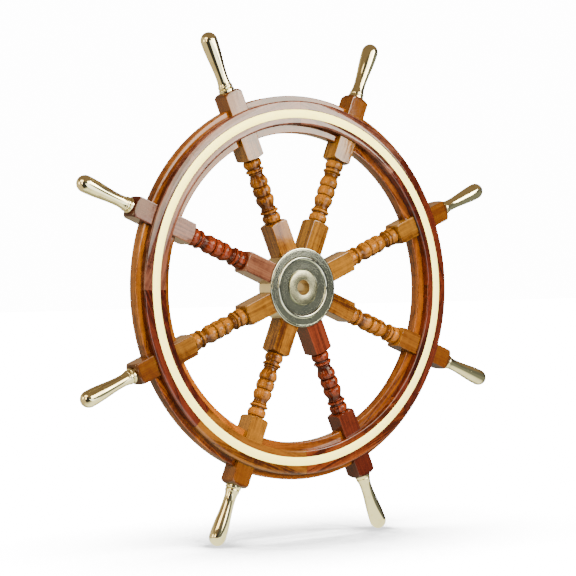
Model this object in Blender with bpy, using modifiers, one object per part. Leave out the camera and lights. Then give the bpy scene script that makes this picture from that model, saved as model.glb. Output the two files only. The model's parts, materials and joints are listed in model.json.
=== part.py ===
"""Eight-spoked ship steering wheel with a laminated rim and a brass hub.

The wheel stands in the XZ plane. Its axle lies on the Y axis, its front faces -Y and
the origin is the centre of the hub. Spokes are numbered counter-clockwise from the one
at 22.5 degrees above +X, as seen from the front. All sizes are in metres.
"""

import math

import bmesh
import bpy
from mathutils import Matrix, Vector

# ---------------------------------------------------------------- driving dimensions
GAP = 0.0003                    # clearance between neighbouring pieces
SPOKES = 8
PITCH = 2.0 * math.pi / SPOKES
WHEEL_RADIUS = 0.4572           # hub centre to handle tip, 36 in across the wheel

SPOKE_WIDTH = 0.034925          # square section of the spokes, 1 3/8 in
SPOKE_START = 0.0450            # inner end of a spoke, inside the hub drum
TURNING_START = 0.1195          # turned length between the two square blocks
TURNING_END = 0.2335
TURNED_STEPS = 12
SPOKE_END = 0.3530              # outer end of the rim block, where the handle sits

RIM_INNER = 0.2620              # middle layer of the rim
RIM_OUTER = 0.3250
RIM_LAYER = 0.01905             # thickness of the middle layer, 3/4 in
FACE_INNER = 0.2750             # front and back layers
FACE_OUTER = 0.3155
FACE_DEPTH = 0.0222             # wheel plane to the faces of the rim
RIM_ROUND = 0.0026              # rounding along the edges of the rim
RIM_STEPS = 64

INLAY_INNER = 0.2865            # brass strip let into the front layer
INLAY_OUTER = 0.3005
INLAY_DEPTH = 0.0030

DRUM_RADIUS = 0.0650
DRUM_CORE = SPOKE_START - GAP   # floor of the spoke pockets
HUB_HALF = SPOKE_WIDTH / 2.0
FRONT_PLATE_RADIUS = 0.0670
BACK_PLATE_RADIUS = 0.0630
PLATE_FACE = 0.0207             # wheel plane to the flat faces of the hub plates
BEAD_INNER = 0.0465             # raised bead on the front plate
BEAD_OUTER = 0.0530
BEAD_TOP = 0.0224
HUB_STEPS = 40

BORE_RADIUS = 0.0127            # axle bore, 1 in
SLEEVE_RADIUS = 0.01905
FLANGE_RADIUS = 0.0295
FLANGE_FACE = 0.0220
FLANGE_THICK = 0.0027           # bush flange, let into the front plate
DISH = 0.0009                   # fall of the plate between its bead and the flange
SLEEVE_END = 0.0253
COLLAR_RADIUS = 0.0270
BUSH_STEPS = 32

STUD_RADIUS = 0.0039            # steel stud between a spoke and its handle
STUD_REACH = 0.0180
BOLT_RADIUS = 0.0025            # hub bolts, fitted from the back
BOLT_CIRCLE = 0.0570
BOLT_HEAD_RADIUS = 0.0045
BOLTS = 4

# clearance radius that keeps the gap between faceted circles at any turn of the wheel
HUB_BORE = (SLEEVE_RADIUS + GAP) / math.cos(math.pi / HUB_STEPS)

# ---------------------------------------------------------------- clear the scene
for old in list(bpy.data.objects):
    bpy.data.objects.remove(old, do_unlink=True)

PARTS = bpy.data.collections.new("ship_steering_wheel")
CUTTERS = bpy.data.collections.new("cutters")
bpy.context.scene.collection.children.link(PARTS)
bpy.context.scene.collection.children.link(CUTTERS)


# ---------------------------------------------------------------- helpers
def material(name, colour, roughness, metallic=0.0):
    """A Principled material with one colour."""
    mat = bpy.data.materials.new(name)
    mat.use_nodes = True
    shader = mat.node_tree.nodes["Principled BSDF"]
    shader.inputs["Base Color"].default_value = (*colour, 1.0)
    shader.inputs["Roughness"].default_value = roughness
    shader.inputs["Metallic"].default_value = metallic
    return mat


def new_object(name, mesh, collection):
    obj = bpy.data.objects.new(name, mesh)
    collection.objects.link(obj)
    return obj


def cutter(name, mesh):
    """A hidden tool for the Boolean cuts."""
    obj = new_object(name, mesh, CUTTERS)
    obj.hide_render = True
    obj.display_type = "WIRE"
    return obj


def turned(name, profile, steps, closed=False, start=0.0, collection=PARTS):
    """Revolve a profile of (radius, height) points about the local Z axis."""
    corners = [(r * math.cos(start), r * math.sin(start), z) for r, z in profile]
    edges = [(i, i + 1) for i in range(len(corners) - 1)]
    if closed:
        edges.append((len(corners) - 1, 0))
    mesh = bpy.data.meshes.new(name)
    mesh.from_pydata(corners, edges, [])
    obj = new_object(name, mesh, collection)
    screw = obj.modifiers.new("turn", "SCREW")
    screw.axis = "Z"
    screw.angle = 2.0 * math.pi
    screw.steps = steps
    screw.render_steps = steps
    screw.use_merge_vertices = True
    screw.merge_threshold = 0.00005
    screw.use_smooth_shade = True
    return obj


def box(name, low, high):
    """A box between two corners."""
    mesh = bpy.data.meshes.new(name)
    shape = bmesh.new()
    bmesh.ops.create_cube(shape, size=1.0)
    size = [b - a for a, b in zip(low, high)]
    middle = [(a + b) / 2.0 for a, b in zip(low, high)]
    bmesh.ops.scale(shape, vec=size, verts=shape.verts)
    bmesh.ops.translate(shape, vec=middle, verts=shape.verts)
    shape.to_mesh(mesh)
    shape.free()
    return mesh


def rod_mesh(name, rods, sides=10):
    """Upright rods in one mesh, each given as (x, y, z0, z1, radius)."""
    mesh = bpy.data.meshes.new(name)
    shape = bmesh.new()
    for x, y, low, high, radius in rods:
        bmesh.ops.create_cone(
            shape,
            cap_ends=True,
            segments=sides,
            radius1=radius,
            radius2=radius,
            depth=high - low,
            matrix=Matrix.Translation((x, y, (low + high) / 2.0)),
        )
    shape.to_mesh(mesh)
    shape.free()
    return mesh


def wedge(name, inset):
    """A 45 degree slice about +X whose two sides stand back by inset."""
    half = PITCH / 2.0
    apex = inset / math.sin(half)
    reach = 0.40
    side = (reach - apex) * math.tan(half)
    outline = bpy.data.curves.new(name, "CURVE")
    outline.dimensions = "2D"
    outline.fill_mode = "BOTH"
    outline.extrude = 0.04
    spline = outline.splines.new("POLY")
    spline.points.add(2)
    for point, (x, y) in zip(spline.points, [(apex, 0.0), (reach, -side), (reach, side)]):
        point.co = (x, y, 0.0, 1.0)
    spline.use_cyclic_u = True
    guide = new_object(name, outline, CUTTERS)
    mesh = evaluated_mesh(guide, name)
    bpy.data.objects.remove(guide, do_unlink=True)
    shape = bmesh.new()
    shape.from_mesh(mesh)
    bmesh.ops.remove_doubles(shape, verts=shape.verts, dist=0.00001)
    bmesh.ops.recalc_face_normals(shape, faces=shape.faces)
    shape.to_mesh(mesh)
    shape.free()
    return cutter(name, mesh)


def cut(obj, tool, operation="DIFFERENCE"):
    step = obj.modifiers.new(tool.name, "BOOLEAN")
    step.object = tool
    step.operation = operation
    step.solver = "EXACT"


def evaluated_mesh(obj, name):
    """The mesh of an object with its modifiers applied."""
    depsgraph = bpy.context.evaluated_depsgraph_get()
    mesh = bpy.data.meshes.new_from_object(obj.evaluated_get(depsgraph))
    mesh.name = name
    return mesh


def bake(obj):
    """Turn a pattern object into a mesh for repeated pieces, and remove the pattern."""
    mesh = evaluated_mesh(obj, obj.name)
    bpy.data.objects.remove(obj, do_unlink=True)
    shape = bmesh.new()
    shape.from_mesh(mesh)
    bmesh.ops.remove_doubles(shape, verts=shape.verts, dist=0.00001)
    bmesh.ops.dissolve_limit(
        shape, angle_limit=math.radians(0.5), verts=shape.verts, edges=shape.edges
    )
    shape.to_mesh(mesh)
    shape.free()
    mesh.shade_smooth()
    mesh.set_sharp_from_angle(angle=math.radians(32.0))
    mesh.materials.clear()
    return mesh


def dress(obj, mat, parent, turn=(0.0, 0.0, 0.0)):
    """Give a piece its material, parent and rotation."""
    if not obj.data.materials:
        obj.data.materials.append(None)
    obj.material_slots[0].link = "OBJECT"
    obj.material_slots[0].material = mat
    obj.parent = parent
    obj.rotation_euler = turn
    return obj


def rounded_ring(inner, outer, low, high, radius, flat_back=False):
    """Section of a ring, with its front edges, and maybe its back ones, rounded."""
    section = []
    corners = [(outer, high, 90.0), (outer, low, 0.0), (inner, low, -90.0), (inner, high, 180.0)]
    for x, z, first in corners:
        at_back = z == low
        if at_back and flat_back:
            section.append((x, z))
            continue
        centre_x = x - radius if x == outer else x + radius
        centre_z = z + radius if at_back else z - radius
        for angle in (first, first - 45.0, first - 90.0):
            turn = math.radians(angle)
            section.append((centre_x + radius * math.cos(turn), centre_z + radius * math.sin(turn)))
    return section


# ---------------------------------------------------------------- materials
WOODS = {
    "gold": material("wood_gold", (0.46, 0.19, 0.045), 0.24),
    "amber": material("wood_amber", (0.38, 0.13, 0.030), 0.24),
    "rust": material("wood_rust", (0.29, 0.070, 0.018), 0.22),
    "red": material("wood_red", (0.19, 0.032, 0.012), 0.20),
    "mauve": material("wood_mauve", (0.27, 0.12, 0.075), 0.26),
}
BRASS = material("brass_polished", (0.78, 0.70, 0.44), 0.22, 1.0)
HUB_BRASS = material("brass_turned", (0.62, 0.61, 0.50), 0.30, 1.0)
INLAY_BRASS = material("brass_inlay", (0.84, 0.80, 0.55), 0.35, 1.0)
STEEL = material("steel", (0.55, 0.56, 0.57), 0.35, 1.0)

SPOKE_WOODS = ["gold", "gold", "amber", "red", "gold", "amber", "red", "amber"]
FACE_WOODS = ["red", "mauve", "mauve", "mauve", "red", "amber", "rust", "red"]
FELLOE_WOODS = ["amber", "gold", "gold", "gold", "gold", "amber", "amber", "amber"]
BACK_WOODS = ["rust", "amber", "mauve", "rust", "amber", "rust", "mauve", "amber"]

# ---------------------------------------------------------------- axle and wheel frames
# Local +Z of both frames is the front of the wheel; local X and Y span its plane.
HELD = bpy.data.objects.new("axle_frame", None)
TURNING = bpy.data.objects.new("wheel_frame", None)
for frame in (HELD, TURNING):
    PARTS.objects.link(frame)
    frame.rotation_euler = (math.radians(90.0), 0.0, 0.0)


# ---------------------------------------------------------------- spokes
def bead(centre, half, low, high, points):
    """A rounded bead of a turning, from one foot to the other."""
    found = []
    for i in range(points):
        angle = math.pi * i / (points - 1)
        found.append((centre - half * math.cos(angle), low + (high - low) * math.sin(angle)))
    return found


def spoke_turning():
    """(distance from the middle, radius) down one half of the turned length."""
    half = [(0.0, 0.0157), (0.0050, 0.0149), (0.0080, 0.0126)]
    half += [(0.0108, 0.0150), (0.0158, 0.0157), (0.0220, 0.0139), (0.0290, 0.0115)]
    half += [(0.0338, 0.0122), (0.0352, 0.0156), (0.0384, 0.0156), (0.0398, 0.0125)]
    half += bead(0.0490, 0.0064, 0.0125, 0.0157, 5)
    return half


def spoke_profile():
    """Outline of the turning, running from the outer end down to the inner one."""
    middle = (TURNING_START + TURNING_END) / 2.0
    shoulder = (TURNING_END - TURNING_START) / 2.0
    corner = SPOKE_WIDTH / math.sqrt(2.0) * 1.06
    half = spoke_turning()
    half += [(shoulder, 0.0150), (shoulder + 0.0018, 0.0200), (shoulder + 0.0056, corner)]
    outer = [(r, middle + s) for s, r in reversed(half)]
    inner = [(r, middle - s) for s, r in half[1:]]
    top = [(0.0, SPOKE_END), (0.0150, SPOKE_END), (0.0204, SPOKE_END - 0.0030)]
    top += [(corner, SPOKE_END - 0.0100)]
    bottom = [(corner, SPOKE_START), (0.0, SPOKE_START)]
    return top + outer + inner + bottom


spoke_pattern = turned(
    "spoke_pattern",
    spoke_profile(),
    TURNED_STEPS,
    start=math.pi / TURNED_STEPS,
    collection=CUTTERS,
)
blank = box(
    "square_blank",
    (-SPOKE_WIDTH / 2.0, -SPOKE_WIDTH / 2.0, SPOKE_START - 0.01),
    (SPOKE_WIDTH / 2.0, SPOKE_WIDTH / 2.0, SPOKE_END + 0.01),
)
square_blank = cutter("square_blank", blank)
stud_hole = cutter(
    "stud_hole",
    rod_mesh(
        "stud_hole",
        [(0.0, 0.0, SPOKE_END - STUD_REACH - GAP, SPOKE_END + 0.01, STUD_RADIUS + GAP * 1.2)],
    ),
)
cut(spoke_pattern, square_blank, "INTERSECT")
cut(spoke_pattern, stud_hole)
spoke_mesh = bake(spoke_pattern)
spoke_mesh.name = "spoke"


# ---------------------------------------------------------------- handles
def handle_profile():
    """Outline of a brass handle from its rounded tip down to its base collar."""
    base = SPOKE_END + GAP
    ball = 0.0142
    ball_at = WHEEL_RADIUS - 0.0150
    neck = 0.0101
    neck_at = base + 0.0240
    points = []
    for step in range(5):
        angle = math.radians(90.0 - 22.5 * step)
        points.append((ball * math.cos(angle), ball_at + 0.0150 * math.sin(angle)))
    points[0] = (0.0, WHEEL_RADIUS)
    for step in range(1, 7):
        part = step / 6.0
        blend = (1.0 + math.cos(math.pi * part ** 1.05)) / 2.0
        points.append((neck + (ball - neck) * blend, ball_at + (neck_at - ball_at) * part))
    points += [(0.0108, base + 0.0145), (0.0123, base + 0.0098), (0.0123, base + 0.0072)]
    points += [(0.0110, base + 0.0056), (0.0132, base + 0.0044), (0.0132, base), (0.0, base)]
    return points


handle_pattern = turned("handle_pattern", handle_profile(), TURNED_STEPS, collection=CUTTERS)
handle_hole = cutter(
    "handle_hole",
    rod_mesh(
        "handle_hole",
        [(0.0, 0.0, SPOKE_END - 0.01, SPOKE_END + STUD_REACH + GAP, STUD_RADIUS + GAP * 1.2)],
    ),
)
cut(handle_pattern, handle_hole)
handle_mesh = bake(handle_pattern)
handle_mesh.name = "handle"
stud_mesh = rod_mesh(
    "handle_stud", [(0.0, 0.0, SPOKE_END - STUD_REACH, SPOKE_END + STUD_REACH, STUD_RADIUS)]
)

# ---------------------------------------------------------------- laminated rim
# The joints of the layers fall in the middle of a facet, half a step off the vertices.
HALF_STEP = math.pi / RIM_STEPS
face_slice = wedge("face_slice", GAP / 2.0)
felloe_slice = wedge("felloe_slice", SPOKE_WIDTH / 2.0 + GAP)
LAYER_TOP = RIM_LAYER / 2.0

channel = cutter(
    "spoke_channel",
    box(
        "spoke_channel",
        (FACE_INNER - 0.02, -SPOKE_WIDTH / 2.0 - GAP, -HUB_HALF - GAP),
        (FACE_OUTER + 0.02, SPOKE_WIDTH / 2.0 + GAP, HUB_HALF + GAP),
    ),
)

felloe_pattern = turned(
    "felloe_pattern",
    rounded_ring(RIM_INNER, RIM_OUTER, -LAYER_TOP, LAYER_TOP, RIM_ROUND),
    RIM_STEPS,
    closed=True,
    start=HALF_STEP,
    collection=CUTTERS,
)
cut(felloe_pattern, felloe_slice, "INTERSECT")
felloe_mesh = bake(felloe_pattern)
felloe_mesh.name = "felloe"


def face_section(grooved):
    """Section of a front or back layer; the front one has a groove for the inlay."""
    section = rounded_ring(
        FACE_INNER, FACE_OUTER, LAYER_TOP + GAP, FACE_DEPTH, RIM_ROUND, flat_back=True
    )
    if grooved:
        floor = FACE_DEPTH - INLAY_DEPTH - GAP
        section += [(INLAY_INNER - GAP, FACE_DEPTH), (INLAY_INNER - GAP, floor)]
        section += [(INLAY_OUTER + GAP, floor), (INLAY_OUTER + GAP, FACE_DEPTH)]
    return section


def face_layer(name, grooved):
    pattern = turned(
        name,
        face_section(grooved),
        RIM_STEPS,
        closed=True,
        start=HALF_STEP,
        collection=CUTTERS,
    )
    cut(pattern, face_slice, "INTERSECT")
    cut(pattern, channel)
    return bake(pattern)


front_mesh = face_layer("front_rim", True)
back_mesh = face_layer("back_rim", False)

inlay = turned(
    "inlay_ring",
    [
        (INLAY_OUTER, FACE_DEPTH),
        (INLAY_OUTER, FACE_DEPTH - INLAY_DEPTH),
        (INLAY_INNER, FACE_DEPTH - INLAY_DEPTH),
        (INLAY_INNER, FACE_DEPTH),
    ],
    RIM_STEPS,
    closed=True,
    start=HALF_STEP,
)
dress(inlay, INLAY_BRASS, TURNING)

# ---------------------------------------------------------------- set out the repeated pieces
for index in range(SPOKES):
    number = index + 1
    angle = PITCH * (index + 0.5)
    along = (0.0, math.radians(90.0), angle)
    spoke = new_object(f"spoke_{number}", spoke_mesh, PARTS)
    dress(spoke, WOODS[SPOKE_WOODS[index]], TURNING, along)
    handle = new_object(f"handle_{number}", handle_mesh, PARTS)
    dress(handle, BRASS, TURNING, along)
    stud = new_object(f"handle_stud_{number}", stud_mesh, PARTS)
    dress(stud, STEEL, TURNING, along)
    front = new_object(f"front_rim_{number}", front_mesh, PARTS)
    dress(front, WOODS[FACE_WOODS[index]], TURNING, (0.0, 0.0, angle))
    felloe = new_object(f"felloe_{number}", felloe_mesh, PARTS)
    dress(felloe, WOODS[FELLOE_WOODS[index]], TURNING, (0.0, 0.0, angle + PITCH / 2.0))
    back = new_object(f"back_rim_{number}", back_mesh, PARTS)
    dress(back, WOODS[BACK_WOODS[index]], TURNING, (math.pi, 0.0, angle))

# ---------------------------------------------------------------- hub
pocket_shape = bmesh.new()
for index in range(SPOKES):
    angle = PITCH * (index + 0.5)
    pocket = box(
        "pocket",
        (DRUM_CORE, -SPOKE_WIDTH / 2.0 - GAP, -HUB_HALF - 0.01),
        (DRUM_RADIUS + 0.02, SPOKE_WIDTH / 2.0 + GAP, HUB_HALF + 0.01),
    )
    pocket.transform(Matrix.Rotation(angle, 4, "Z"))
    pocket_shape.from_mesh(pocket)
    bpy.data.meshes.remove(pocket)
pocket_mesh = bpy.data.meshes.new("spoke_pockets")
pocket_shape.to_mesh(pocket_mesh)
pocket_shape.free()
spoke_pockets = cutter("spoke_pockets", pocket_mesh)

BOLT_TIP = PLATE_FACE - 0.0015
HEAD_SEAT = PLATE_FACE + GAP
bolt_places = [
    (BOLT_CIRCLE * math.cos(i * 2.0 * math.pi / BOLTS), BOLT_CIRCLE * math.sin(i * 2.0 * math.pi / BOLTS))
    for i in range(BOLTS)
]
bolt_holes = cutter(
    "bolt_holes",
    rod_mesh(
        "bolt_holes",
        [(x, y, -PLATE_FACE - 0.01, BOLT_TIP, BOLT_RADIUS + GAP * 1.2) for x, y in bolt_places],
    ),
)

drum = turned(
    "hub_drum",
    [(DRUM_RADIUS, HUB_HALF), (DRUM_RADIUS, -HUB_HALF), (HUB_BORE, -HUB_HALF), (HUB_BORE, HUB_HALF)],
    HUB_STEPS,
    closed=True,
)
cut(drum, spoke_pockets)
cut(drum, bolt_holes)

PLATE_SEAT = HUB_HALF + GAP
FLANGE_BACK = FLANGE_FACE - FLANGE_THICK
front_plate = turned(
    "hub_front_plate",
    [
        (BEAD_OUTER, PLATE_FACE),
        (FRONT_PLATE_RADIUS - 0.0008, PLATE_FACE),
        (FRONT_PLATE_RADIUS, PLATE_FACE - 0.0008),
        (FRONT_PLATE_RADIUS, PLATE_SEAT),
        (HUB_BORE, PLATE_SEAT),
        (HUB_BORE, FLANGE_BACK - GAP),
        (FLANGE_RADIUS + 0.0009, FLANGE_BACK - GAP),
        (FLANGE_RADIUS + 0.0012, PLATE_FACE - DISH),
        (BEAD_INNER, PLATE_FACE - DISH + 0.0001),
        (BEAD_INNER + 0.0012, BEAD_TOP - 0.0004),
        ((BEAD_INNER + BEAD_OUTER) / 2.0, BEAD_TOP),
        (BEAD_OUTER - 0.0012, BEAD_TOP - 0.0004),
    ],
    HUB_STEPS,
    closed=True,
)
cut(front_plate, bolt_holes)

back_plate = turned(
    "hub_back_plate",
    [
        (BACK_PLATE_RADIUS, -PLATE_SEAT),
        (BACK_PLATE_RADIUS, -PLATE_FACE + 0.0010),
        (BACK_PLATE_RADIUS - 0.0010, -PLATE_FACE),
        (HUB_BORE, -PLATE_FACE),
        (HUB_BORE, -PLATE_SEAT),
    ],
    HUB_STEPS,
    closed=True,
)
cut(back_plate, bolt_holes)

for piece in (drum, front_plate, back_plate):
    dress(piece, HUB_BRASS, TURNING)

for index, (x, y) in enumerate(bolt_places):
    shape = rod_mesh("hub_bolt", [(0.0, 0.0, -HEAD_SEAT - 0.0010, BOLT_TIP - GAP, BOLT_RADIUS)])
    bolt = new_object(f"hub_bolt_{index + 1}", shape, PARTS)
    head = cutter(
        f"bolt_head_{index + 1}",
        rod_mesh("bolt_head", [(x, y, -HEAD_SEAT - 0.0030, -HEAD_SEAT, BOLT_HEAD_RADIUS)]),
    )
    driver = cutter(
        f"bolt_slot_{index + 1}",
        box(
            "bolt_slot",
            (x - 0.0006, y - 0.01, -HEAD_SEAT - 0.0050),
            (x + 0.0006, y + 0.01, -HEAD_SEAT - 0.0018),
        ),
    )
    for tool in (head, driver):
        tool.parent = TURNING
    join = bolt.modifiers.new("head", "BOOLEAN")
    join.object = head
    join.operation = "UNION"
    join.solver = "EXACT"
    cut(bolt, driver)
    dress(bolt, STEEL, TURNING)
    bolt.location = (x, y, 0.0)

for tool in (spoke_pockets, bolt_holes):
    tool.parent = TURNING

# ---------------------------------------------------------------- axle bush and collar
bush = turned(
    "centre_bush",
    [
        (FLANGE_RADIUS - 0.0007, FLANGE_FACE),
        (FLANGE_RADIUS, FLANGE_FACE - 0.0007),
        (FLANGE_RADIUS, FLANGE_BACK),
        (SLEEVE_RADIUS, FLANGE_BACK),
        (SLEEVE_RADIUS, -SLEEVE_END + 0.0005),
        (SLEEVE_RADIUS - 0.0005, -SLEEVE_END),
        (BORE_RADIUS + 0.0005, -SLEEVE_END),
        (BORE_RADIUS, -SLEEVE_END + 0.0005),
        (BORE_RADIUS, FLANGE_FACE - 0.0006),
        (BORE_RADIUS + 0.0006, FLANGE_FACE),
    ],
    BUSH_STEPS,
    closed=True,
)
dress(bush, BRASS, HELD)

collar = turned(
    "bush_collar",
    [
        (COLLAR_RADIUS, -PLATE_FACE - GAP),
        (COLLAR_RADIUS, -SLEEVE_END + 0.0010),
        (COLLAR_RADIUS - 0.0008, -SLEEVE_END + 0.0003),
        (SLEEVE_RADIUS + GAP * 1.2, -SLEEVE_END + 0.0003),
        (SLEEVE_RADIUS + GAP * 1.2, -PLATE_FACE - GAP),
    ],
    BUSH_STEPS,
    closed=True,
)
dress(collar, BRASS, HELD)
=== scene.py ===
"""Looks of an eight-spoked ship steering wheel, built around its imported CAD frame.

The wheel stands in the XZ plane with its front towards -Y and its axle on Y. Ring
shapes are built in a local frame whose +Z is the front of the wheel, and spokes and
grips in one whose +Z runs out along the spoke. Sizes are in metres.
"""

import json
import math

import bmesh
import bpy
from mathutils import Matrix, Vector


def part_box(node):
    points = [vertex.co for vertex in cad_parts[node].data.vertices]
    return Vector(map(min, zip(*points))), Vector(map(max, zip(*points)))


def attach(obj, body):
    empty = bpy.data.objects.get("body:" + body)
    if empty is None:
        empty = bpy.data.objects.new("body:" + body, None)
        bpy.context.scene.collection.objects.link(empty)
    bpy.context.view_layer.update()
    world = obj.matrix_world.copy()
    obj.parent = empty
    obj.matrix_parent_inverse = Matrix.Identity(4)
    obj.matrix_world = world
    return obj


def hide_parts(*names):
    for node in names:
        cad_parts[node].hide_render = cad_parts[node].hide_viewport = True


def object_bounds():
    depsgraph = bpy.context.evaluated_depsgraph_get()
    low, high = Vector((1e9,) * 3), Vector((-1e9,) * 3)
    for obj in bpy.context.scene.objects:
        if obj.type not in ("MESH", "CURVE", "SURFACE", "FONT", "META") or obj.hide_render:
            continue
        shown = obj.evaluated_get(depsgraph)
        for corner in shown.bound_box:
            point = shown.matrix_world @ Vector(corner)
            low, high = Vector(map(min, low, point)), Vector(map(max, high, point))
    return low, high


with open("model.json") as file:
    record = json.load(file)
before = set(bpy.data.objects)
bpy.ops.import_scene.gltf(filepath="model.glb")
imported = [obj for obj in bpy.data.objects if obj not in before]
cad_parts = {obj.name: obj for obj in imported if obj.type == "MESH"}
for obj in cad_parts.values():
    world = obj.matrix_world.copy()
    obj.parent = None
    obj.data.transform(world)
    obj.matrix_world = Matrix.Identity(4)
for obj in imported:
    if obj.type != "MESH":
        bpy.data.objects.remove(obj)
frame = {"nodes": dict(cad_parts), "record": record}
CAD_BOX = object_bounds()

# ---------------------------------------------------------------- sizes
# From the CAD boxes where a box gives them; the others are the design's own numbers.
GAP = 0.0003  # clearance between neighbouring pieces
SPOKES = 8
PITCH = 2.0 * math.pi / SPOKES


def node_box(node):
    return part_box(node)


def radius_of(node):
    """Half the width of a node that is round about the axle."""
    low, high = node_box(node)
    return (high.x - low.x) / 2.0


spoke_low, spoke_high = node_box("spoke_1")
SPOKE_WIDTH = spoke_high.y - spoke_low.y
HUB_HALF = SPOKE_WIDTH / 2.0  # wheel plane to the ends of the drum
SPOKE_START = 0.0450  # inner end of a spoke, inside the hub drum
TURNING_START = 0.1195
TURNING_END = 0.2335
SPOKE_END = 0.3530  # outer end of a spoke, where the grip sits
WHEEL_RADIUS = 0.4572  # hub centre to grip tip
BLOCK_EDGE = 0.0008  # rounding along the edges of the square blocks
SHOULDER_RADIUS = 0.0150  # turned radius at which a block begins
SHOULDER_LENGTH = 0.0058  # from there to the full block, beside the turned length
TIP_LENGTH = 0.0105  # the same beside the grip
SHOULDER_STEPS = 8

RIM_FACET = math.cos(math.pi / 64.0)  # the CAD's rim rings have 64 sides
RIM_INNER = 0.2620  # middle layer
RIM_OUTER = 0.3250
LAYER_TOP = node_box("felloe_1")[1].y  # wheel plane to the faces of the middle layer
FACE_INNER = 0.2750  # front and back layers
FACE_OUTER = 0.3155
FACE_DEPTH = -node_box("front_rim_1")[0].y
FACE_BACK = -node_box("front_rim_1")[1].y
FACE_ROUND = 0.0026  # rounding along the edges of the front and back layers
FELLOE_ROUND = 0.0013  # rounding along the edges of the middle layer
FELLOE_FLAT = 0.0026  # where the middle layer's flats begin, which keeps their shading even
INLAY_OUTER = radius_of("inlay_ring") / RIM_FACET
INLAY_WIDTH = 0.0140
INLAY_INNER = INLAY_OUTER - INLAY_WIDTH
INLAY_BACK = -node_box("inlay_ring")[1].y

DRUM_RADIUS = radius_of("hub_drum")
FRONT_PLATE_RADIUS = radius_of("hub_front_plate")
BACK_PLATE_RADIUS = radius_of("hub_back_plate")
PLATE_SEAT = HUB_HALF + GAP
PLATE_FACE = node_box("hub_back_plate")[1].y  # wheel plane to the faces of the hub plates
BEAD_TOP = -node_box("hub_front_plate")[0].y
BEAD_INNER = 0.0465  # raised bead on the front plate
BEAD_OUTER = 0.0530
BEAD_MIDDLE = (BEAD_INNER + BEAD_OUTER) / 2.0
PLATE_ROUND = 0.0011  # rounding along the edge of the front plate
PLATE_FLAT = 0.0021  # where its flat begins
GROOVE_INNER = 0.0632  # fine groove near the front plate's edge
GROOVE_OUTER = 0.0645
GROOVE_SLOPE = 0.0004
GROOVE_DEPTH = 0.0005
FLANGE_RADIUS = radius_of("centre_bush")
FLANGE_FACE = -node_box("centre_bush")[0].y
FLANGE_THICK = 0.0027
DISH = 0.0009  # fall of the front plate between its bead and the flange
SLEEVE_END = node_box("centre_bush")[1].y
SLEEVE_RADIUS = 0.01905
HUB_BORE = (SLEEVE_RADIUS + GAP) / math.cos(math.pi / 40.0)  # 40-sided in the CAD
BORE_RADIUS = 0.0127
COLLAR_RADIUS = radius_of("bush_collar")
BOLTS = 4
BOLT_CIRCLE = 0.0570
BOLT_HEAD_RADIUS = 0.0045
BOLT_HEAD_HEIGHT = 0.0030
BOLT_RADIUS = 0.0025
BOLT_END = PLATE_FACE - 0.0018
SLOT_SIZE = (0.0012, 0.012, 0.0030)  # of the block that cuts the screwdriver slot

WHEEL_FRAME = Matrix.Rotation(math.radians(90.0), 4, "X")


# ---------------------------------------------------------------- mesh helpers
ON_AXIS = 1e-7


def finish_mesh(name, shape, sharp=35.0):
    """Weld and smooth a shape, with crisp edges where faces meet at more than sharp degrees."""
    bmesh.ops.remove_doubles(shape, verts=shape.verts, dist=0.000002)
    bmesh.ops.recalc_face_normals(shape, faces=shape.faces)
    mesh = bpy.data.meshes.new(name)
    shape.to_mesh(mesh)
    shape.free()
    mesh.shade_smooth()
    mesh.set_sharp_from_angle(angle=math.radians(sharp))
    return mesh


def skin(name, rings, sharp=35.0):
    """Quads between rings of points, capped at both ends."""
    shape = bmesh.new()
    rows = [[shape.verts.new(p) for p in ring] for ring in rings]
    count = len(rows[0])
    for a, b in zip(rows, rows[1:]):
        for i in range(count):
            j = (i + 1) % count
            shape.faces.new((a[i], a[j], b[j], b[i]))
    shape.faces.new(rows[0])
    shape.faces.new(rows[-1])
    return finish_mesh(name, shape, sharp)


def rounded(corners, steps=5, closed=True):
    """A (x, y) outline whose (x, y, radius) corners are rounded.

    A rounding takes no more than half of the side before or after it.
    """
    found = []
    count = len(corners)
    for i, (x, y, radius) in enumerate(corners):
        here = Vector((x, y))
        if radius <= 0.0 or (not closed and i in (0, count - 1)):
            found.append((x, y))
            continue
        before = Vector(corners[i - 1][:2]) - here
        after = Vector(corners[(i + 1) % count][:2]) - here
        half = before.angle(after) / 2.0
        if half > math.radians(89.5):  # as good as straight
            found.append((x, y))
            continue
        reach = min(radius / math.tan(half), before.length * 0.49, after.length * 0.49)
        real = reach * math.tan(half)
        first = here + before.normalized() * reach
        last = here + after.normalized() * reach
        inward = (before.normalized() + after.normalized()).normalized()
        centre = here + inward * (real / math.sin(half))
        a = first - centre
        b = last - centre
        sweep = a.angle_signed(b)
        for k in range(steps + 1):
            turn = Matrix.Rotation(-sweep * k / steps, 2)
            found.append(tuple(centre + turn @ a))
    return found


def revolve(name, profile, steps, closed=True, sharp=35.0):
    """Turn a (radius, height) profile about local Z; a profile that isn't closed ends on Z."""
    shape = bmesh.new()
    rows = []
    for i in range(steps):
        angle = 2.0 * math.pi * i / steps
        c, s = math.cos(angle), math.sin(angle)
        rows.append([shape.verts.new((r * c, r * s, z)) for r, z in profile])
    count = len(profile)
    last = count if closed else count - 1
    for i in range(steps):
        a, b = rows[i], rows[(i + 1) % steps]
        for k in range(last):
            m = (k + 1) % count
            if profile[k][0] < ON_AXIS and profile[m][0] < ON_AXIS:
                continue
            shape.faces.new((a[k], a[m], b[m], b[k]))
    return finish_mesh(name, shape, sharp)


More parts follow.
